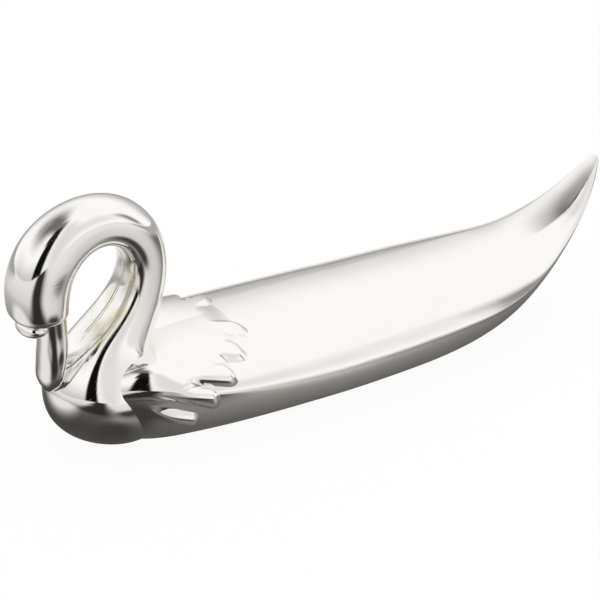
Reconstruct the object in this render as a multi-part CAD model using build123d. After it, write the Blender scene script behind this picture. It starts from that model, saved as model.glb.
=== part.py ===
from build123d import *
import math
import os

# Sizes are in millimetres. X runs from the head to the tail, Z is up from the table.

# Body: place along X, heights of back, waist and keel, half width, and the back's flat: half width and fall
BODY_STATIONS = [
    (-31.0, 10.0, 8.4, 2.4, 5.7, 1.6, 0.07),
    (-28.5, 11.4, 9.0, 0.4, 7.7, 2.2, 0.1),
    (-25.0, 12.2, 9.0, -0.8, 9.6, 2.7, 0.13),
    (-20.5, 12.65, 8.4, -1.0, 11.0, 3.1, 0.17),
    (-15.0, 12.8, 7.5, -1.0, 11.7, 3.3, 0.21),
    (-9.0, 12.75, 6.6, -0.9, 11.95, 3.3, 0.24),
    (-3.0, 12.6, 5.9, -0.8, 11.95, 3.3, 0.26),
    (3.0, 12.4, 5.5, -0.8, 11.8, 3.3, 0.28),
    (9.0, 12.15, 5.25, -0.7, 11.45, 3.3, 0.3),
    (15.0, 12.0, 5.2, -0.5, 11.05, 3.3, 0.31),
    (20.5, 11.8, 5.5, 0.1, 10.55, 3.4, 0.33),
    (25.5, 11.7, 6.2, 1.3, 9.8, 3.5, 0.34),
    (30.0, 11.8, 7.3, 3.1, 8.6, 3.3, 0.31),
    (34.0, 12.2, 8.8, 5.7, 7.2, 3.1, 0.3),
    (37.5, 13.3, 10.5, 8.6, 5.7, 2.8, 0.28),
    (40.5, 14.8, 12.5, 11.5, 4.3, 2.4, 0.23),
    (43.0, 16.65, 14.9, 14.4, 3.0, 1.8, 0.15),
    (45.0, 18.4, 17.3, 17.0, 1.65, 1.1, 0.07),
    (46.0, 19.4, 18.9, 18.7, 0.8, 0.5, 0.02),
]
FLANK_ROUNDNESS = [
    2.0, 2.0, 2.0, 2.0, 2.0, 2.0, 2.0, 2.0, 2.0, 2.0, 1.9, 1.7, 1.5, 1.3, 1.3, 1.3, 1.3, 1.3, 1.3,
]

# Neck: centre X, centre Z, half thickness, half width
NECK_STATIONS = [
    (-27.0, 0.0, 2.6, 3.2),
    (-27.7, 1.0, 4.9, 4.9),
    (-28.6, 3.0, 7.1, 6.9),
    (-29.1, 6.0, 8.0, 7.7),
    (-29.3, 8.5, 7.8, 7.3),
    (-29.2, 11.2, 6.7, 6.2),
    (-28.0, 14.0, 5.2, 4.9),
    (-25.9, 16.9, 3.9, 4.1),
    (-24.1, 20.2, 3.1, 3.6),
    (-23.3, 24.0, 2.8, 3.4),
    (-24.3, 28.0, 2.9, 3.4),
    (-26.6, 30.5, 3.0, 3.4),
    (-30.0, 31.6, 3.2, 3.4),
    (-33.9, 30.8, 3.6, 3.6),
    (-37.0, 28.1, 4.0, 3.9),
    (-38.4, 24.4, 4.1, 4.0),
    (-38.5, 21.7, 3.8, 4.15),
    (-38.3, 20.3, 3.1, 3.4),
    (-38.2, 19.6, 1.8, 2.0),
]
NECK_HEADINGS = [90, 90, 90, 90, 90, 90, 86, 82, 84, 92, 122, 152, 180, 208, 232, 255, 268, 270, 270]
NECK_INNER_SQUARENESS = [
    2.0, 2.0, 2.0, 2.0, 2.1, 2.4, 2.9, 3.2, 3.2, 3.0, 3.0, 3.0, 2.9, 2.7, 2.5, 2.3, 2.2, 2.1, 2.1,
]
OUTER_SQUARENESS = 2.2

# Beak: as the neck
BEAK_STATIONS = [
    (-36.8, 21.0, 1.5, 2.1),
    (-36.5, 17.5, 1.8, 2.1),
    (-36.6, 14.5, 1.8, 2.4),
    (-36.9, 12.0, 1.6, 2.4),
    (-37.2, 10.2, 1.2, 1.8),
    (-37.4, 9.3, 0.5, 0.8),
]
BEAK_HEADINGS = [270, 270, 268, 264, 258, 255]
BEAK_INNER_SQUARENESS = [2.2, 2.2, 2.3, 2.3, 2.2, 2.2]

# Knob above the beak
KNOB_CENTRE_X = -39.3
KNOB_CENTRE_Z = 19.2
KNOB_HALF_LENGTH = 2.0
KNOB_HALF_WIDTH = 2.6
KNOB_HALF_HEIGHT = 1.3

# Wing: thickness over the body, more round a crest part way up, running out at a hem below the waist
WING_THICKNESS = 0.5
WING_SWELL = 0.7
WING_CREST_ANGLE = 52.0
WING_CREST_SPREAD = 32.0
WING_HEM_ANGLE = -62.0
WING_HEM_SPREAD = 30.0
WING_HEM_DEPTH = 0.3
WING_REAR_STATIONS = 6

# Undivided front of the wing, and the feathers behind it from the back down
MANTLE_FRONT_X = -25.5
MANTLE_FRONT_Z = 8.0
MANTLE_SLOPE = 18.0
MANTLE_REAR_X = -13.0
FEATHER_TIP_X = [-10.8, -13.0, -15.7, -18.6, -20.9]
FEATHER_ANGLES = [67, 47, 25, -5, -24]
FEATHER_RADII = [2.0, 2.0, 1.8, 1.5, 1.4]
FEATHER_LENGTH = 6.5
FEATHER_TILT = 11.0

PLAIN_OVAL = 2.0
TUBE_POINTS = 16
SHELL_POINTS = 32
FLANK_POINTS = 6
KEEL_POINTS = 6
CUTTER_SIZE = 200.0


def squared(angle, power):
    """Cosine and sine of an angle in degrees, pushed outwards to a squarer outline."""
    across, along = math.cos(math.radians(angle)), math.sin(math.radians(angle))
    return [math.copysign(abs(part) ** (2 / power), part) for part in (across, along)]


def ring(points):
    """The face inside a smooth closed curve through the points."""
    steps = [index / len(points) for index in range(len(points) + 1)]
    return Face(Wire([Edge.make_spline(points, periodic=True, parameters=steps)]))


def body_section(station, roundness):
    """A section of the body: an arc over the flat of the back, and a curve round flanks and keel."""
    x, back, waist, keel, half_width, flat, fall = station
    top = math.degrees(math.acos((flat / half_width) ** (roundness / 2)))
    rise = (back - fall - waist) / squared(top, roundness)[1]
    side = []
    for index in range(FLANK_POINTS):
        across, along = squared(top * (1 - index / FLANK_POINTS), roundness)
        side.append((half_width * across, waist + rise * along))
    for index in range(KEEL_POINTS):
        across, along = squared(-90 * index / KEEL_POINTS, PLAIN_OVAL)
        side.append((half_width * across, waist + (waist - keel) * along))
    right = [Vector(x, y, z) for y, z in side]
    left = [Vector(x, -y, z) for y, z in reversed(side)]
    points = [*right, Vector(x, 0, keel), *left]
    steps = [index / (len(points) - 1) for index in range(len(points))]
    hull = Edge.make_spline(points, parameters=steps)
    return Face(Wire([Edge.make_three_point_arc(left[-1], Vector(x, 0, back), right[0]), hull]))


def skin(station, angle):
    """The point of the body's left side at an angle above the waist, and the way out of it."""
    x, back, waist, keel, half_width = station[:5]
    across, along = squared(angle, PLAIN_OVAL)
    rise = back - waist if along >= 0 else waist - keel
    point = Vector(x, -half_width * across, waist + rise * along)
    return point, Vector(0, -across / half_width, along / rise).normalized()


def body_size_at(x):
    """The body's station at any place along it."""
    pairs = zip(BODY_STATIONS, BODY_STATIONS[1:])
    before, after = next(pair for pair in pairs if pair[0][0] <= x <= pair[1][0])
    share = (x - before[0]) / (after[0] - before[0])
    return [low + share * (high - low) for low, high in zip(before, after)]


def tube(stations, headings, inner_squareness):
    """The curved solid through the stations, each set square to its heading in the middle plane."""
    faces = []
    for (x, z, half_thickness, half_width), heading, inner in zip(stations, headings, inner_squareness):
        turn = math.radians(heading)
        plane = Plane((x, 0, z), x_dir=(0, -1, 0), z_dir=(math.cos(turn), 0, math.sin(turn)))
        points = []
        for index in range(TUBE_POINTS):
            angle = 360 * index / TUBE_POINTS
            across, out = squared(angle, OUTER_SQUARENESS if angle <= 180 else inner)
            points.append(plane.from_local_coords(Vector(half_width * across, half_thickness * out, 0)))
        faces.append(ring(points))
    return loft(faces)


def wing_height(angle):
    """How far the wing stands out of the body at an angle above the waist; below the hem it sinks in."""
    swell = math.exp(-(((angle - WING_CREST_ANGLE) / WING_CREST_SPREAD) ** 2))
    shown = min(max((angle - WING_HEM_ANGLE) / WING_HEM_SPREAD, 0), 1)
    return shown * (WING_THICKNESS + WING_SWELL * swell) - (1 - shown) * WING_HEM_DEPTH


def wing_shell():
    """The front of the body grown by the height of the wings, as one solid."""
    faces = []
    for station in BODY_STATIONS[:WING_REAR_STATIONS]:
        points = []
        for index in range(SHELL_POINTS):
            angle = 360 * index / SHELL_POINTS
            from_waist = 90 - abs(90 - angle) if angle <= 270 else angle - 360
            point, out = skin(station, angle)
            points.append(point + out * wing_height(from_waist))
        faces.append(ring(points))
    return loft(faces)


def feather(tip_x, angle, radius):
    """A round-ended bar that lies along the skin and cuts one feather out of the shell."""
    end_x = tip_x - radius
    root_x = end_x - FEATHER_LENGTH
    end, _ = skin(body_size_at(end_x), angle)
    root, _ = skin(body_size_at(root_x), angle + FEATHER_TILT)
    length = (end - root).length
    shaft = Cylinder(radius, length, align=(Align.CENTER, Align.CENTER, Align.MIN))
    return Plane(root, z_dir=end - root) * (shaft + Pos(0, 0, length) * Sphere(radius))


def wing(side, shell, body, neck):
    """The feathered shell on one side of the body, from the ridge of the back down, ending at the neck."""
    half = Align.MAX if side is Side.LEFT else Align.MIN
    block = Box(CUTTER_SIZE, CUTTER_SIZE, CUTTER_SIZE, align=(Align.MAX, half, Align.CENTER))
    corner = Pos(MANTLE_FRONT_X, 0, MANTLE_FRONT_Z)
    mantle = corner * Rot(0, 90 - MANTLE_SLOPE, 0) * block & Pos(MANTLE_REAR_X, 0, 0) * block
    shape = corner * block + mantle
    for tip_x, angle, radius in zip(FEATHER_TIP_X, FEATHER_ANGLES, FEATHER_RADII):
        bar = feather(tip_x, angle, radius)
        shape += bar if side is Side.LEFT else mirror(bar, about=Plane.XZ)
    return (shell & shape) - body - neck


# Body, flat on the table
below = Pos(0, 0, -CUTTER_SIZE / 2) * Box(CUTTER_SIZE, CUTTER_SIZE, CUTTER_SIZE)
sections = [body_section(station, roundness) for station, roundness in zip(BODY_STATIONS, FLANK_ROUNDNESS)]
body = loft(sections) - below

# Neck, head, knob and beak in one casting, seated over the nose of the body
knob_shares = (1, KNOB_HALF_WIDTH / KNOB_HALF_LENGTH, KNOB_HALF_HEIGHT / KNOB_HALF_LENGTH)
knob = Pos(KNOB_CENTRE_X, 0, KNOB_CENTRE_Z) * scale(Sphere(KNOB_HALF_LENGTH), by=knob_shares)
neck = tube(NECK_STATIONS, NECK_HEADINGS, NECK_INNER_SQUARENESS)
beak = tube(BEAK_STATIONS, BEAK_HEADINGS, BEAK_INNER_SQUARENESS)
casting = neck + beak + knob
neck_and_head = casting - body

# Wings, laid over the body
shell = wing_shell() - below

# Every piece is moved so that the origin lies under the middle of the length
pieces = {
    "body": body,
    "neck_and_head": neck_and_head,
    "left_wing": wing(Side.LEFT, shell, body, casting),
    "right_wing": wing(Side.RIGHT, shell, body, casting),
}
front = neck_and_head.bounding_box().min.X
rear = body.bounding_box().max.X
os.makedirs("parts", exist_ok=True)
for name, piece in pieces.items():
    export_step(Pos(-(front + rear) / 2, 0, 0) * piece, f"parts/{name}.step")
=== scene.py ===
import math

import bpy
import numpy as np
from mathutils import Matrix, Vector


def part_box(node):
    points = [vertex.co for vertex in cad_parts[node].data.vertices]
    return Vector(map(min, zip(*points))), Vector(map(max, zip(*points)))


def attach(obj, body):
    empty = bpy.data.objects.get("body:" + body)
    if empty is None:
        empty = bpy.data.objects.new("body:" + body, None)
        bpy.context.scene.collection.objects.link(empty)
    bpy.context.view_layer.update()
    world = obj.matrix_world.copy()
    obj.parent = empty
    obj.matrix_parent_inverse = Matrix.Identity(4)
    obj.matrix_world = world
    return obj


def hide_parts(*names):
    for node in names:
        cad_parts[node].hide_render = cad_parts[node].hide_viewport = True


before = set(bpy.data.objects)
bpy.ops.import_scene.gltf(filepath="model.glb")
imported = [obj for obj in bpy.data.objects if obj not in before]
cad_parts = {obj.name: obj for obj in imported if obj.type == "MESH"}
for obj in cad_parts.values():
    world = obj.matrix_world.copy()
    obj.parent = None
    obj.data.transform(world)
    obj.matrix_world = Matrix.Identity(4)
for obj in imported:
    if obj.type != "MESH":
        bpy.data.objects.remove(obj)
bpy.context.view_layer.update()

# Shape tables are in millimetres, in the frame of the solids before they were centred
MM = 0.001

# Body: place along X, heights of back, waist and keel, half width, half width of the back's flat, its fall,
# and the roundness of the flank
BODY_STATIONS = np.array([
    (-31.0, 10.0, 8.4, 2.4, 5.7, 1.6, 0.07, 2.0),
    (-28.5, 11.4, 9.0, 0.4, 7.7, 2.2, 0.1, 2.0),
    (-25.0, 12.2, 9.0, -0.8, 9.6, 2.7, 0.13, 2.0),
    (-20.5, 12.65, 8.4, -1.0, 11.0, 3.1, 0.17, 2.0),
    (-15.0, 12.8, 7.5, -1.0, 11.7, 3.3, 0.21, 2.0),
    (-9.0, 12.75, 6.6, -0.9, 11.95, 3.3, 0.17, 2.0),
    (-3.0, 12.6, 5.9, -0.8, 11.95, 3.3, 0.18, 2.0),
    (3.0, 12.4, 5.5, -0.8, 11.8, 3.3, 0.19, 2.0),
    (9.0, 12.15, 5.25, -0.7, 11.45, 3.3, 0.2, 2.0),
    (15.0, 12.0, 5.2, -0.5, 11.05, 3.3, 0.21, 2.0),
    (20.5, 11.8, 5.5, 0.1, 10.55, 3.4, 0.22, 1.9),
    (25.5, 11.7, 6.2, 1.3, 9.8, 3.5, 0.24, 1.7),
    (30.0, 11.8, 7.3, 3.1, 8.6, 3.3, 0.31, 1.5),
    (34.0, 12.2, 8.8, 5.7, 7.2, 3.1, 0.3, 1.3),
    (37.5, 13.3, 10.5, 8.6, 5.7, 2.8, 0.28, 1.3),
    (40.5, 14.8, 12.5, 11.5, 4.3, 2.4, 0.23, 1.3),
    (43.0, 16.65, 14.9, 14.4, 3.0, 1.8, 0.15, 1.3),
    (45.0, 18.4, 17.3, 17.0, 1.65, 1.1, 0.07, 1.3),
    (46.0, 19.4, 18.9, 18.7, 0.8, 0.5, 0.02, 1.3),
])
BODY_ROWS, BODY_COLUMNS = 400, 240
TAIL_TIP_X = BODY_STATIONS[-1, 0]

# Neck: centre X, centre Z, heading in degrees, half thickness, half width, squareness of the inner side
NECK_STATIONS = np.array([
    (-27.0, 0.0, 90, 2.6, 3.2, 2.0),
    (-27.7, 1.0, 90, 4.9, 4.9, 2.0),
    (-28.6, 3.0, 90, 7.1, 6.9, 2.0),
    (-29.1, 6.0, 90, 8.0, 7.7, 2.0),
    (-29.3, 8.5, 90, 7.8, 7.3, 2.1),
    (-29.2, 11.2, 90, 6.7, 6.2, 2.4),
    (-28.0, 14.0, 86, 5.2, 4.9, 2.9),
    (-25.9, 16.9, 82, 3.9, 4.1, 3.2),
    (-24.1, 20.2, 84, 3.1, 3.6, 3.2),
    (-23.3, 24.0, 92, 2.8, 3.4, 3.0),
    (-24.3, 28.0, 122, 2.9, 3.4, 3.0),
    (-26.6, 30.5, 152, 3.0, 3.4, 3.0),
    (-30.0, 31.6, 180, 3.2, 3.4, 2.9),
    (-33.9, 30.8, 208, 3.6, 3.6, 2.7),
    (-37.0, 28.1, 232, 4.0, 3.9, 2.5),
    (-38.4, 24.4, 255, 4.1, 4.0, 2.3),
    (-38.5, 21.7, 268, 3.8, 4.15, 2.2),
    (-38.3, 20.3, 270, 3.1, 3.4, 2.1),
    (-38.2, 19.6, 270, 1.8, 2.0, 2.1),
])
NECK_ROWS, NECK_COLUMNS = 520, 160
OUTER_SQUARENESS = 2.2

# Beak: as the neck
BEAK_STATIONS = np.array([
    (-36.8, 21.0, 270, 2.0, 2.1, 2.2),
    (-36.5, 17.5, 270, 1.8, 2.1, 2.2),
    (-36.6, 14.5, 268, 1.8, 2.4, 2.3),
    (-36.9, 12.0, 264, 1.6, 2.4, 2.3),
    (-37.2, 10.2, 258, 1.2, 1.8, 2.2),
    (-37.4, 9.3, 255, 0.5, 0.8, 2.2),
])
BEAK_ROWS, BEAK_COLUMNS = 120, 96

# Knob above the beak
KNOB_CENTRE = (-39.3, 0.0, 19.2)
KNOB_HALF_LENGTH = 2.0
KNOB_HALF_WIDTH = 2.6
KNOB_HALF_HEIGHT = 1.3
KNOB_ROWS, KNOB_COLUMNS = 40, 60

# Wing mantle: heights above the body's skin, angles above the waist in degrees
WING_THICKNESS = 0.5
WING_BULGE = 0.7
WING_CREST_ANGLE, WING_CREST_SPREAD = 52.0, 32.0
WING_HEM_ANGLE, WING_HEM_SPREAD = -62.0, 30.0
WING_THIN_X, WING_THIN_LENGTH = -7.0, 14.0
SHOULDER_HEIGHT = 0.8
SHOULDER_ANGLE, SHOULDER_SPREAD = 42.0, 28.0
SHOULDER_X, SHOULDER_LENGTH = -26.5, 4.0
GROOVE_ANGLES = (-40.0, -4.0, 30.0, 47.0, 62.0, 90.0)
GROOVE_FRONT_X = (-26.0, -25.5, -19.8, -15.6, -13.2, -13.0)
GROOVE_FADE = 4.0

# Feathers, from the top one down: the tilt is in degrees to the millimetre
FEATHER_TIP_X = (-10.8, -13.0, -15.7, -18.6, -20.9)
FEATHER_ANGLES = (67.0, 47.0, 25.0, -5.0, -24.0)
FEATHER_HALF_WIDTHS = (2.0, 2.0, 1.8, 1.5, 1.4)
FEATHER_CROWNS = (0.0, 0.0, 0.15, 0.35, 0.4)
FEATHER_TILT = 1.8
FEATHER_EDGE = 1.3
FEATHER_LENGTH, FEATHER_GROWTH = 12.0, 6.0
CROWN_LENGTH, CROWN_FADE = 7.0, 4.0

# Wing shell: the power that blends feathers and mantle, its bounds, and how deep it sits in the body
WING_BLEND = 6
WING_ANGLES = (-60.0, 90.0)
WING_END_X = -8.0
WING_LEAST_RELIEF = 0.01
WING_SINK = 0.05
WING_SEAT = 0.3
WING_ROWS, WING_COLUMNS = 920, 290

# Edges steeper than this many degrees stay sharp
SHARP_ANGLE = 40.0

# Silver: spots to the metre, spans of the noise that is used, heights in metres
SILVER_COOL = (0.91, 0.9, 0.885, 1.0)
SILVER_WARM = (0.89, 0.87, 0.845, 1.0)
CLOUD_SPOTS, CLOUD_DETAIL, CLOUD_SPAN = 120.0, 4.0, (0.35, 0.65)
POLISHED_ROUGHNESS = (0.045, 0.085)
HAIRLINE_TURN, HAIRLINE_STRETCH = (0.0, 0.0, 0.2), (0.06, 1.0, 1.0)
HAIRLINE_SPOTS, HAIRLINE_DETAIL, HAIRLINE_SPAN = 2600.0, 2.0, (0.62, 0.72)
HAIRLINE_ROUGHNESS, HAIRLINE_DEPTH = 0.08, 0.0000015
LOOP_CENTRE, LOOP_SPAN = (-31.0, 0.0, 22.0), (0.0052, 0.0078)
TARNISH_COLOUR = (0.74, 0.69, 0.52, 1.0)
TARNISH_SPOTS, TARNISH_DETAIL, TARNISH_SPAN = 420.0, 5.0, (0.38, 0.75)
TARNISH_ROUGHNESS = 0.15
MOULD_LINE_SPAN, MOULD_LINE_HEIGHT = (0.0001, 0.0003), 0.00012
WAVE_SPOTS, WAVE_DETAIL, WAVE_HEIGHT = 85.0, 1.0, 0.00018

# Floor and world
WHITE = (1.0, 1.0, 1.0, 1.0)
FLOOR_REACH = 6.0
FLOOR_COLOUR = (0.06, 0.06, 0.06, 1.0)
FLOOR_GLOW = 0.94

# Studio cards, glow sheets that paint reflections on the metal: columns round the knife rest, and the tint of
# their darkest painted tones
CARD_COLUMNS = 360
CARD_DARK_TINT = np.array([1.0, 0.96, 0.87])

# Studio tent, a glow dome that only the metal sees, painting reflections on it: azimuth 0 is behind the knife
# rest, 90 beyond its tail and -90 before its head
TENT_RADIUS = 3.0
TENT_ELEVATIONS = (-1.0, 90.0)
TENT_ROWS = 140
TENT_WHITE = 1.06
TENT_PAINTED_PATCHES = (
    # centre, half size and softness of each painted reflection patch in degrees, then its tone
    ((40.0, -8.0), (45.0, 26.0), (34.0, 42.0), 0.5),
    ((-90.0, 72.0), (65.0, 10.0), (40.0, 14.0), 0.2),
    ((-42.0, 60.0), (44.0, 18.0), (60.0, 36.0), 0.16),
    ((170.0, 26.0), (30.0, 14.0), (24.0, 24.0), 0.84),
    ((-174.0, 15.0), (14.0, 50.0), (24.0, 20.0), 0.8),
    ((-95.0, 0.0), (50.0, 10.0), (40.0, 36.0), 0.55),
    ((-34.0, 49.0), (11.0, 8.0), (24.0, 20.0), 0.34),
    ((129.0, 14.0), (6.0, 15.0), (12.0, 18.0), 0.25),
    ((-137.0, 20.0), (13.0, 32.0), (6.0, 8.0), 0.005),
    ((-133.0, 57.0), (17.0, 12.0), (8.0, 10.0), 0.012),
)

# Table card in metres, a glow sheet that only the metal sees: tones by the distance from the knife rest, a
# painted shadow darker near it, with others on the head's side
TABLE_CARD_HEIGHT = 0.0003
TABLE_LEAST_REACH = 0.002
TABLE_ROWS = 160
TABLE_SPINE = (-0.036, 0.026)
TABLE_INSET = 0.006
TABLE_DISTANCES = (0.0, 0.003, 0.005, 0.011, 0.016, 0.024, 0.06, 0.12, 0.3)
TABLE_SHADE_TONES = (0.1, 0.125, 0.165, 0.27, 0.38, 0.6, 0.82, 0.86, 0.88)
TABLE_LEFT_SHADE_TONES = (0.06, 0.065, 0.07, 0.1, 0.18, 0.3, 0.72, 0.8, 0.85)
TABLE_LEFT_X, TABLE_LEFT_FADE = -0.028, 0.016

# Table card behind the knife rest: how much lighter its painted reflection is
TABLE_BACK_SHARE = 1.5
TABLE_BACK_FADE = 0.02
TABLE_BACK_LIMIT = 0.95

# Painted dark strip and painted reflection spots on the table card
TABLE_STRIP_START = (-0.046, -0.01)
TABLE_STRIP_AZIMUTH = -155.0
TABLE_STRIP_HALF_WIDTH = 0.014
TABLE_STRIP_SPREAD = 0.17
TABLE_STRIP_TONE = 0.03
TABLE_PAINTED_SPOTS = (
    # centre, radius and softness in metres, then the tone of the painted spot
    ((0.3, 1.0), 0.98, 0.08, 0.4),
    ((0.5, 0.0), 0.42, 0.06, 0.45),
    ((0.065, -0.03), 0.045, 0.06, 0.18),
    ((-0.065, 0.007), 0.017, 0.014, 0.85),
    ((-0.023, -0.032), 0.012, 0.013, 0.05),
    ((-0.034, -0.011), 0.006, 0.008, 0.05),
)

# Camera: angles in degrees, distance in metres
CAMERA_AZIMUTH, CAMERA_ELEVATION, CAMERA_DISTANCE = -31.5, 30.0, 0.65
CAMERA_TARGET = (0.0, 0.0, 11.0)
FOCAL_PIXELS, FRAME_PIXELS = 5022.0, 600.0
SENSOR_WIDTH = 36.0

# Step from the shape tables to the shared frame
SHIFT = Vector((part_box("body")[1][0] - TAIL_TIP_X * MM, 0.0, 0.0))


def spline(knots, values, at):
    """Natural cubic spline through the values."""
    steps = np.diff(knots)
    count = len(knots)
    matrix, right = np.eye(count), np.zeros(count)
    for i in range(1, count - 1):
        matrix[i, i - 1:i + 2] = steps[i - 1], 2 * (steps[i - 1] + steps[i]), steps[i]
        slopes = (values[i + 1] - values[i]) / steps[i], (values[i] - values[i - 1]) / steps[i - 1]
        right[i] = 6 * (slopes[0] - slopes[1])
    bend = np.linalg.solve(matrix, right)
    k = np.clip(np.searchsorted(knots, at, side="right") - 1, 0, count - 2)
    after, before, step = at - knots[k], knots[k + 1] - at, steps[k]
    curve = (bend[k] * before**3 + bend[k + 1] * after**3) / (6 * step)
    curve += (values[k] / step - bend[k] * step / 6) * before
    return curve + (values[k + 1] / step - bend[k + 1] * step / 6) * after


def stations_at(stations, rows):
    """The station columns, interpolated evenly along the path that the first two of them make."""
    path = stations[:, :2]
    knots = np.concatenate([[0.0], np.cumsum(np.linalg.norm(np.diff(path, axis=0), axis=1))])
    at = np.linspace(0.0, knots[-1], rows)
    return [spline(knots, column, at)[:, None] for column in stations.T]


def full_turn(columns):
    """Angles in radians, evenly round a turn."""
    return np.linspace(0.0, 2 * math.pi, columns, endpoint=False)


def grid_points(x, y, z):
    """A grid of points from rows, columns or grids of coordinates."""
    return np.stack(np.broadcast_arrays(x, y, z), axis=-1)


def rounded(angles, power):
    """Cosine and sine of the angles, pushed outwards to a squarer outline."""
    across, along = np.cos(angles), np.sin(angles)
    return np.sign(across) * np.abs(across) ** (2 / power), np.sign(along) * np.abs(along) ** (2 / power)


def smooth_step(value):
    """A soft rise from 0 to 1, where the value goes from 0 to 1."""
    clipped = np.clip(value, 0.0, 1.0)
    return clipped * clipped * (3 - 2 * clipped)


def soft_edge(depth, softness):
    """Share from 0 to 1 across a soft edge, and a half where the depth is 0."""
    return smooth_step(depth / softness + 0.5)


def round_edge(depth):
    """Height of a rounded edge, from 0 on the border to 1 at full depth."""
    return np.sin(np.clip(depth, 0.0, 1.0) * math.pi / 2)


def bell(value, centre, spread):
    """A soft hump of height 1 round the centre."""
    return np.exp(-((value - centre) / spread) ** 2)


def mixed(tones, tone, share):
    """Tones moved towards another tone by a share."""
    return tones * (1 - share) + tone * share


def body_points(rows, angles):
    """Points of the body's skin, a row per place along X and a column per angle above the waist."""
    x, back, waist, keel, half_width, flat, fall, roundness = stations_at(BODY_STATIONS, rows)
    across, along = np.cos(angles), np.sin(angles)
    share = np.abs(across)
    top = back - waist - fall * (share * half_width / flat) ** 2
    edge_height = (1 - (flat / half_width) ** roundness) ** (1 / roundness)
    flank = (back - fall - waist) * (1 - share**roundness) ** (1 / roundness) / edge_height
    z = waist + np.where(along > 0, np.minimum(top, flank), (waist - keel) * along)
    return grid_points(x, -half_width * across, z)


def tube_points(stations, rows, columns):
    """Points of a curved tube, a row per place along its path."""
    x, z, heading, half_thickness, half_width, squareness = stations_at(stations, rows)
    angles = full_turn(columns)
    power = np.where(np.sin(angles) >= 0, OUTER_SQUARENESS, squareness)
    across, outward = rounded(angles, power)
    turn = np.radians(heading)
    offset = half_thickness * outward
    return grid_points(x + offset * np.sin(turn), half_width * across, z - offset * np.cos(turn))


def knob_points():
    """Points of the knob, a row per place across its width."""
    angles = np.linspace(0.0, math.pi, KNOB_ROWS)[:, None]
    turns = full_turn(KNOB_COLUMNS)
    return grid_points(
        KNOB_CENTRE[0] + KNOB_HALF_LENGTH * np.sin(angles) * np.cos(turns),
        KNOB_CENTRE[1] - KNOB_HALF_WIDTH * np.cos(angles),
        KNOB_CENTRE[2] + KNOB_HALF_HEIGHT * np.sin(angles) * np.sin(turns))


def grid_faces(rows, columns, closed):
    """Corner numbers of the four-sided faces of a grid, joined round the columns if closed."""
    i, j = np.meshgrid(np.arange(rows - 1), np.arange(columns if closed else columns - 1), indexing="ij")
    k = (j + 1) % columns
    near, far = i * columns, (i + 1) * columns
    return np.stack([near + j, far + j, far + k, near + k], axis=-1).reshape(-1, 4)


def closed_tube(points):
    """A grid closed round its columns, with a flat cap at each end, as corners and faces."""
    rows, columns = points.shape[:2]
    faces = grid_faces(rows, columns, True).tolist()
    faces.append(list(range(columns)))
    faces.append(list(range((rows - 1) * columns, rows * columns))[::-1])
    return points.reshape(-1, 3), faces


def closed_shell(outer, inner, faces):
    """A shell between two grids, closed along the border of the faces in use, as corners and faces."""
    used, faces = np.unique(faces, return_inverse=True)
    count, faces = len(used), faces.reshape(-1, 4)
    starts, ends = faces.reshape(-1), np.roll(faces, -1, axis=1).reshape(-1)
    border = ~np.isin(starts * count + ends, ends * count + starts)
    starts, ends = starts[border], ends[border]
    walls = np.stack([ends, starts, starts + count, ends + count], axis=-1)
    corners = np.concatenate([outer.reshape(-1, 3)[used], inner.reshape(-1, 3)[used]])
    return corners, np.concatenate([faces, faces[:, ::-1] + count, walls])


def wing_relief(x, angles, half_width, rise):
    """Height of a wing above the body: a swollen mantle that runs out into round-ended feathers."""
    degrees = np.degrees(angles)
    thinning = smooth_step((WING_THIN_X - x) / WING_THIN_LENGTH)
    swell = bell(degrees, WING_CREST_ANGLE, WING_CREST_SPREAD) * thinning
    shoulder = bell(degrees, SHOULDER_ANGLE, SHOULDER_SPREAD) * bell(x, SHOULDER_X, SHOULDER_LENGTH)
    hem = smooth_step((degrees - WING_HEM_ANGLE) / WING_HEM_SPREAD)
    height = (WING_THICKNESS + WING_BULGE * swell + SHOULDER_HEIGHT * shoulder) * hem
    groove_front = np.interp(degrees, GROOVE_ANGLES, GROOVE_FRONT_X)
    total = soft_edge(groove_front - x, GROOVE_FADE) ** WING_BLEND
    crowns = 0.0
    feathers = zip(FEATHER_TIP_X, FEATHER_ANGLES, FEATHER_HALF_WIDTHS, FEATHER_CROWNS)
    for tip_x, angle, feather_width, crown in feathers:
        turn = np.radians(angle + FEATHER_TILT * (tip_x - x))
        aside = (angles - turn) * np.hypot(half_width * np.sin(turn), rise * np.cos(turn))
        beyond = np.maximum(x - (tip_x - feather_width), 0.0)
        inside = feather_width - np.hypot(aside, beyond)
        growth = smooth_step((x - tip_x + FEATHER_LENGTH) / FEATHER_GROWTH)
        total = total + (growth * round_edge(inside / FEATHER_EDGE)) ** WING_BLEND
        rooted = smooth_step((x - tip_x + CROWN_LENGTH) / CROWN_FADE)
        crowns = crowns + crown * rooted * np.maximum(1 - (1 - inside / feather_width) ** 2, 0.0)
    return height * np.minimum(total, 1.0) ** (1 / WING_BLEND) + crowns


def left_wing_shell():
    """The left wing as corners and faces: its relief on the body's skin, closed inside the body."""
    angles = np.radians(np.linspace(*WING_ANGLES, WING_COLUMNS))
    skin = body_points(WING_ROWS, angles)
    normals = np.cross(np.gradient(skin, axis=0), np.gradient(skin, axis=1))
    normals /= np.linalg.norm(normals, axis=-1, keepdims=True)
    x, back, waist, keel, half_width = stations_at(BODY_STATIONS, WING_ROWS)[:5]
    rise = np.where(angles < 0, waist - keel, back - waist)
    relief = np.where(x < WING_END_X, wing_relief(x, angles, half_width, rise), 0.0)
    outer = skin + normals * (relief - WING_SINK)[..., None]
    inner = skin - normals * WING_SEAT
    faces = grid_faces(WING_ROWS, WING_COLUMNS, False)
    return closed_shell(outer, inner, faces[relief.reshape(-1)[faces].max(axis=1) > WING_LEAST_RELIEF])


def add_object(name, data):
    """A new object in the scene."""
    made = bpy.data.objects.new(name, data)
    bpy.context.scene.collection.objects.link(made)
    return made


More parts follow.
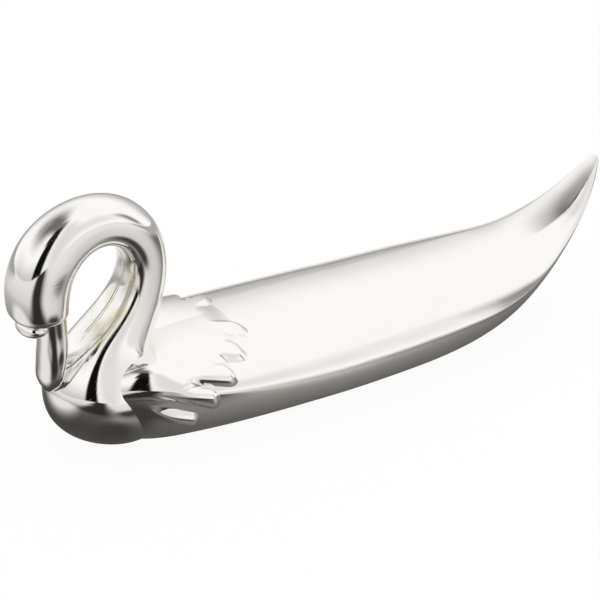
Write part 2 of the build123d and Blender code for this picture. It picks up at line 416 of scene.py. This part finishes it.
def mesh_object(name, shapes, material):
    """One smooth object from several sets of corners and faces in millimetres."""
    corners, faces = [], []
    for shape_corners, shape_faces in shapes:
        first = len(corners)
        corners.extend(shape_corners.tolist())
        faces.extend([[first + index for index in face] for face in shape_faces])
    mesh = bpy.data.meshes.new(name)
    mesh.from_pydata([Vector(corner) * MM + SHIFT for corner in corners], [], faces)
    mesh.shade_smooth()
    mesh.set_sharp_from_angle(angle=math.radians(SHARP_ANGLE))
    mesh.materials.append(material)
    return add_object(name, mesh)


def put(tree, socket, value):
    """Set an input: an output is linked to it, anything else is its value."""
    if isinstance(value, bpy.types.NodeSocket):
        tree.links.new(value, socket)
    else:
        socket.default_value = value


def add_node(tree, kind, **values):
    """A new node with the named inputs set, where an underscore stands for a space."""
    made = tree.nodes.new(kind)
    for name, value in values.items():
        put(tree, made.inputs[name.replace("_", " ")], value)
    return made


def add_sum(tree, operation, *values):
    """The outcome of a sum between values."""
    made = tree.nodes.new("ShaderNodeMath")
    made.operation = operation
    for socket, value in zip(made.inputs, values):
        put(tree, socket, value)
    return made.outputs["Value"]


def add_range(tree, value, source, target):
    """A value moved from one range to another and kept inside it."""
    made = add_node(
        tree, "ShaderNodeMapRange", Value=value,
        From_Min=source[0], From_Max=source[1], To_Min=target[0], To_Max=target[1])
    return made.outputs["Result"]


def add_noise(tree, place, scale, detail):
    """Soft random values, with so many spots to the metre."""
    return add_node(tree, "ShaderNodeTexNoise", Vector=place, Scale=scale, Detail=detail).outputs["Fac"]


def new_material(name):
    """A new material with its node tree."""
    material = bpy.data.materials.new(name)
    material.use_nodes = True
    return material, material.node_tree


def make_silver():
    """Polished silver plate: cloudy polish, hairlines, a slightly uneven face and tarnish inside the loop."""
    material, tree = new_material("silver_plate")
    shader = tree.nodes["Principled BSDF"]
    shader.inputs["Metallic"].default_value = 1.0
    place = tree.nodes.new("ShaderNodeTexCoord").outputs["Object"]

    # Polish
    clouds = add_noise(tree, place, CLOUD_SPOTS, CLOUD_DETAIL)
    lengthwise = add_node(
        tree, "ShaderNodeMapping", Vector=place, Rotation=HAIRLINE_TURN, Scale=HAIRLINE_STRETCH).outputs["Vector"]
    hairlines = add_range(
        tree, add_noise(tree, lengthwise, HAIRLINE_SPOTS, HAIRLINE_DETAIL), HAIRLINE_SPAN, (0.0, 1.0))

    # Tarnish, and the line of the mould along the middle of the loop
    away = add_node(tree, "ShaderNodeVectorMath", Vector=place)
    away.operation = "DISTANCE"
    away.inputs[1].default_value = SHIFT + Vector(LOOP_CENTRE) * MM
    inside = add_range(tree, away.outputs["Value"], LOOP_SPAN, (1.0, 0.0))
    spots = add_range(tree, add_noise(tree, place, TARNISH_SPOTS, TARNISH_DETAIL), TARNISH_SPAN, (0.0, 1.0))
    tarnish = add_sum(tree, "MULTIPLY", inside, spots)
    aside = add_sum(tree, "ABSOLUTE", add_node(tree, "ShaderNodeSeparateXYZ", Vector=place).outputs["Y"])
    mould_line = add_sum(tree, "MULTIPLY", add_range(tree, aside, MOULD_LINE_SPAN, (1.0, 0.0)), inside)

    # Colour
    polished = add_node(tree, "ShaderNodeMixRGB", Fac=clouds, Color1=SILVER_COOL, Color2=SILVER_WARM)
    coloured = add_node(
        tree, "ShaderNodeMixRGB", Fac=tarnish, Color1=polished.outputs["Color"], Color2=TARNISH_COLOUR)
    put(tree, shader.inputs["Base Color"], coloured.outputs["Color"])

    # Gloss
    haze = add_range(tree, clouds, CLOUD_SPAN, POLISHED_ROUGHNESS)
    scratched = add_sum(tree, "MULTIPLY_ADD", hairlines, HAIRLINE_ROUGHNESS, haze)
    dulled = add_sum(tree, "MULTIPLY_ADD", tarnish, TARNISH_ROUGHNESS, scratched)
    put(tree, shader.inputs["Roughness"], dulled)

    # Unevenness left by the mould and the polishing wheel
    waves = add_node(
        tree, "ShaderNodeBump", Height=add_noise(tree, place, WAVE_SPOTS, WAVE_DETAIL),
        Strength=1.0, Distance=WAVE_HEIGHT)
    lines = add_node(
        tree, "ShaderNodeBump", Height=hairlines, Strength=1.0, Distance=HAIRLINE_DEPTH,
        Normal=waves.outputs["Normal"])
    lines.invert = True
    ridge = add_node(
        tree, "ShaderNodeBump", Height=mould_line, Strength=1.0, Distance=MOULD_LINE_HEIGHT,
        Normal=lines.outputs["Normal"])
    put(tree, shader.inputs["Normal"], ridge.outputs["Normal"])
    return material


def make_card_material(name):
    """A glow whose tone is kept on the card's corners."""
    material, tree = new_material(name)
    tree.nodes.remove(tree.nodes["Principled BSDF"])
    tone = tree.nodes.new("ShaderNodeAttribute")
    tone.attribute_name = "tone"
    glow = add_node(tree, "ShaderNodeEmission", Color=tone.outputs["Color"])
    put(tree, tree.nodes["Material Output"].inputs["Surface"], glow.outputs["Emission"])
    return material


def make_card(name, points, tones):
    """A studio card with a tone at each point, closed round its columns, that only the metal sees: its tones are
    painted reflections.
    """
    mesh = bpy.data.meshes.new(name)
    mesh.from_pydata(points.reshape(-1, 3).tolist(), [], grid_faces(*tones.shape, True).tolist())
    tones = tones.reshape(-1, 1)
    tints = tones * (1 - (1 - CARD_DARK_TINT) * np.maximum(1 - tones, 0.0) ** 2)
    colours = np.concatenate([tints, np.ones_like(tones)], axis=1)
    mesh.attributes.new("tone", "FLOAT_COLOR", "POINT").data.foreach_set("color", colours.reshape(-1))
    mesh.materials.append(make_card_material(name))
    card = add_object(name, mesh)
    card.visible_camera = False
    card.visible_diffuse = False
    card.visible_shadow = False


def make_painted_reflection_tent():
    """A dome round the table that only the metal sees: white, with soft painted reflection patches."""
    azimuth = np.linspace(-180.0, 180.0, CARD_COLUMNS, endpoint=False)
    elevation = np.linspace(*TENT_ELEVATIONS, TENT_ROWS)[:, None]
    tones = np.full((TENT_ROWS, CARD_COLUMNS), TENT_WHITE)
    for centre, half, softness, tone in TENT_PAINTED_PATCHES:
        around = np.abs((azimuth - centre[0] + 180.0) % 360.0 - 180.0)
        above = np.abs(elevation - centre[1])
        share = soft_edge(half[0] - around, softness[0]) * soft_edge(half[1] - above, softness[1])
        tones = mixed(tones, tone, share)
    turn, lift = np.radians(azimuth), np.radians(elevation)
    dome = grid_points(np.sin(turn) * np.cos(lift), np.cos(turn) * np.cos(lift), np.sin(lift))
    # The dome's tones are painted reflections on the metal
    make_card("painted_reflection_tent", TENT_RADIUS * dome, tones)


def make_painted_table_reflection():
    """The table top's painted reflection, seen only by the metal: a painted shadow dark near the knife rest, with
    a painted dark strip and soft painted spots.
    """
    turn = np.radians(np.linspace(-180.0, 180.0, CARD_COLUMNS, endpoint=False))
    reach = np.geomspace(TABLE_LEAST_REACH, TENT_RADIUS, TABLE_ROWS)[:, None]
    x, y = reach * np.sin(turn), reach * np.cos(turn)

    # Tone by distance: a painted shadow, darker towards the knife rest
    past_spine = np.maximum(np.maximum(TABLE_SPINE[0] - x, x - TABLE_SPINE[1]), 0.0)
    distance = np.maximum(np.hypot(past_spine, y) - TABLE_INSET, 0.0)
    leftness = smooth_step((TABLE_LEFT_X - x) / TABLE_LEFT_FADE)
    left_tones = np.interp(distance, TABLE_DISTANCES, TABLE_LEFT_SHADE_TONES)
    tones = mixed(np.interp(distance, TABLE_DISTANCES, TABLE_SHADE_TONES), left_tones, leftness)
    backness = smooth_step(y / TABLE_BACK_FADE) * (1 - leftness)
    tones = np.minimum(tones * (1 + (TABLE_BACK_SHARE - 1) * backness), TABLE_BACK_LIMIT)

    # Painted dark strip in the reflection
    strip_turn = math.radians(TABLE_STRIP_AZIMUTH)
    strip_x, strip_y = x - TABLE_STRIP_START[0], y - TABLE_STRIP_START[1]
    along = strip_x * math.sin(strip_turn) + strip_y * math.cos(strip_turn)
    across = np.abs(strip_x * math.cos(strip_turn) - strip_y * math.sin(strip_turn))
    half = TABLE_STRIP_HALF_WIDTH + TABLE_STRIP_SPREAD * np.maximum(along, 0.0)
    strip = soft_edge(half - across, half) * smooth_step(along / TABLE_STRIP_HALF_WIDTH)
    tones = mixed(tones, TABLE_STRIP_TONE, strip)

    # Painted reflection spots
    for (spot_x, spot_y), radius, softness, tone in TABLE_PAINTED_SPOTS:
        tones = mixed(tones, tone, soft_edge(radius - np.hypot(x - spot_x, y - spot_y), softness))
    # A glow sheet that paints the table's reflection, with a painted shadow near the knife rest
    make_card("painted_table_reflection", grid_points(x, y, TABLE_CARD_HEIGHT), tones)


def make_floor():
    """A pale floor that glows only where the camera or the metal sees it."""
    material, tree = new_material("floor")
    shader = tree.nodes["Principled BSDF"]
    shader.inputs["Base Color"].default_value = FLOOR_COLOUR
    shader.inputs["Roughness"].default_value = 1.0
    shader.inputs["Specular IOR Level"].default_value = 0.0
    shader.inputs["Emission Color"].default_value = WHITE
    rays = tree.nodes.new("ShaderNodeLightPath")
    seen = add_sum(tree, "MAXIMUM", rays.outputs["Is Camera Ray"], rays.outputs["Is Glossy Ray"])
    put(tree, shader.inputs["Emission Strength"], add_sum(tree, "MULTIPLY", seen, FLOOR_GLOW))
    mesh = bpy.data.meshes.new("floor")
    signs = ((-1, -1), (1, -1), (1, 1), (-1, 1))
    mesh.from_pydata([(a * FLOOR_REACH, b * FLOOR_REACH, 0.0) for a, b in signs], [], [(0, 1, 2, 3)])
    mesh.materials.append(material)
    floor = add_object("floor", mesh)


def make_world():
    """Plain white light from all sides."""
    world = bpy.data.worlds.new("studio")
    world.use_nodes = True
    world.node_tree.nodes["Background"].inputs["Color"].default_value = WHITE
    bpy.context.scene.world = world


def make_camera():
    """The camera at the photograph's viewing angle."""
    turn, lift = math.radians(CAMERA_AZIMUTH), math.radians(CAMERA_ELEVATION)
    away = Vector((math.sin(turn) * math.cos(lift), -math.cos(turn) * math.cos(lift), math.sin(lift)))
    lens = bpy.data.cameras.new("camera")
    lens.sensor_width = SENSOR_WIDTH
    lens.lens = SENSOR_WIDTH * FOCAL_PIXELS / FRAME_PIXELS
    camera = add_object("camera", lens)
    camera.location = SHIFT + Vector(CAMERA_TARGET) * MM + away * CAMERA_DISTANCE
    camera.rotation_euler = away.to_track_quat("Z", "Y").to_euler()
    bpy.context.scene.camera = camera


silver = make_silver()

# Body, flat on the table
skin = body_points(BODY_ROWS, full_turn(BODY_COLUMNS))
skin[..., 2] = np.maximum(skin[..., 2], 0.0)
body = mesh_object("body_casting", [closed_tube(skin)], silver)
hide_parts("body")

# Neck, head, beak and knob
neck = mesh_object("neck_casting", [
    closed_tube(tube_points(NECK_STATIONS, NECK_ROWS, NECK_COLUMNS)),
    closed_tube(tube_points(BEAK_STATIONS, BEAK_ROWS, BEAK_COLUMNS)),
    closed_tube(knob_points()),
], silver)
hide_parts("neck_and_head")

# Wings
pieces = [body, neck]
corners, faces = left_wing_shell()
for side, hand in (("left", 1), ("right", -1)):
    wing = mesh_object(side + "_wing_shell", [(corners * (1, hand, 1), faces[:, ::hand].tolist())], silver)
    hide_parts(side + "_wing")
    pieces.append(wing)

for piece in pieces:
    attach(piece, "root")

# Studio
make_floor()
make_world()
make_painted_reflection_tent()
make_painted_table_reflection()
make_camera()
bpy.context.scene.view_settings.view_transform = "Standard"
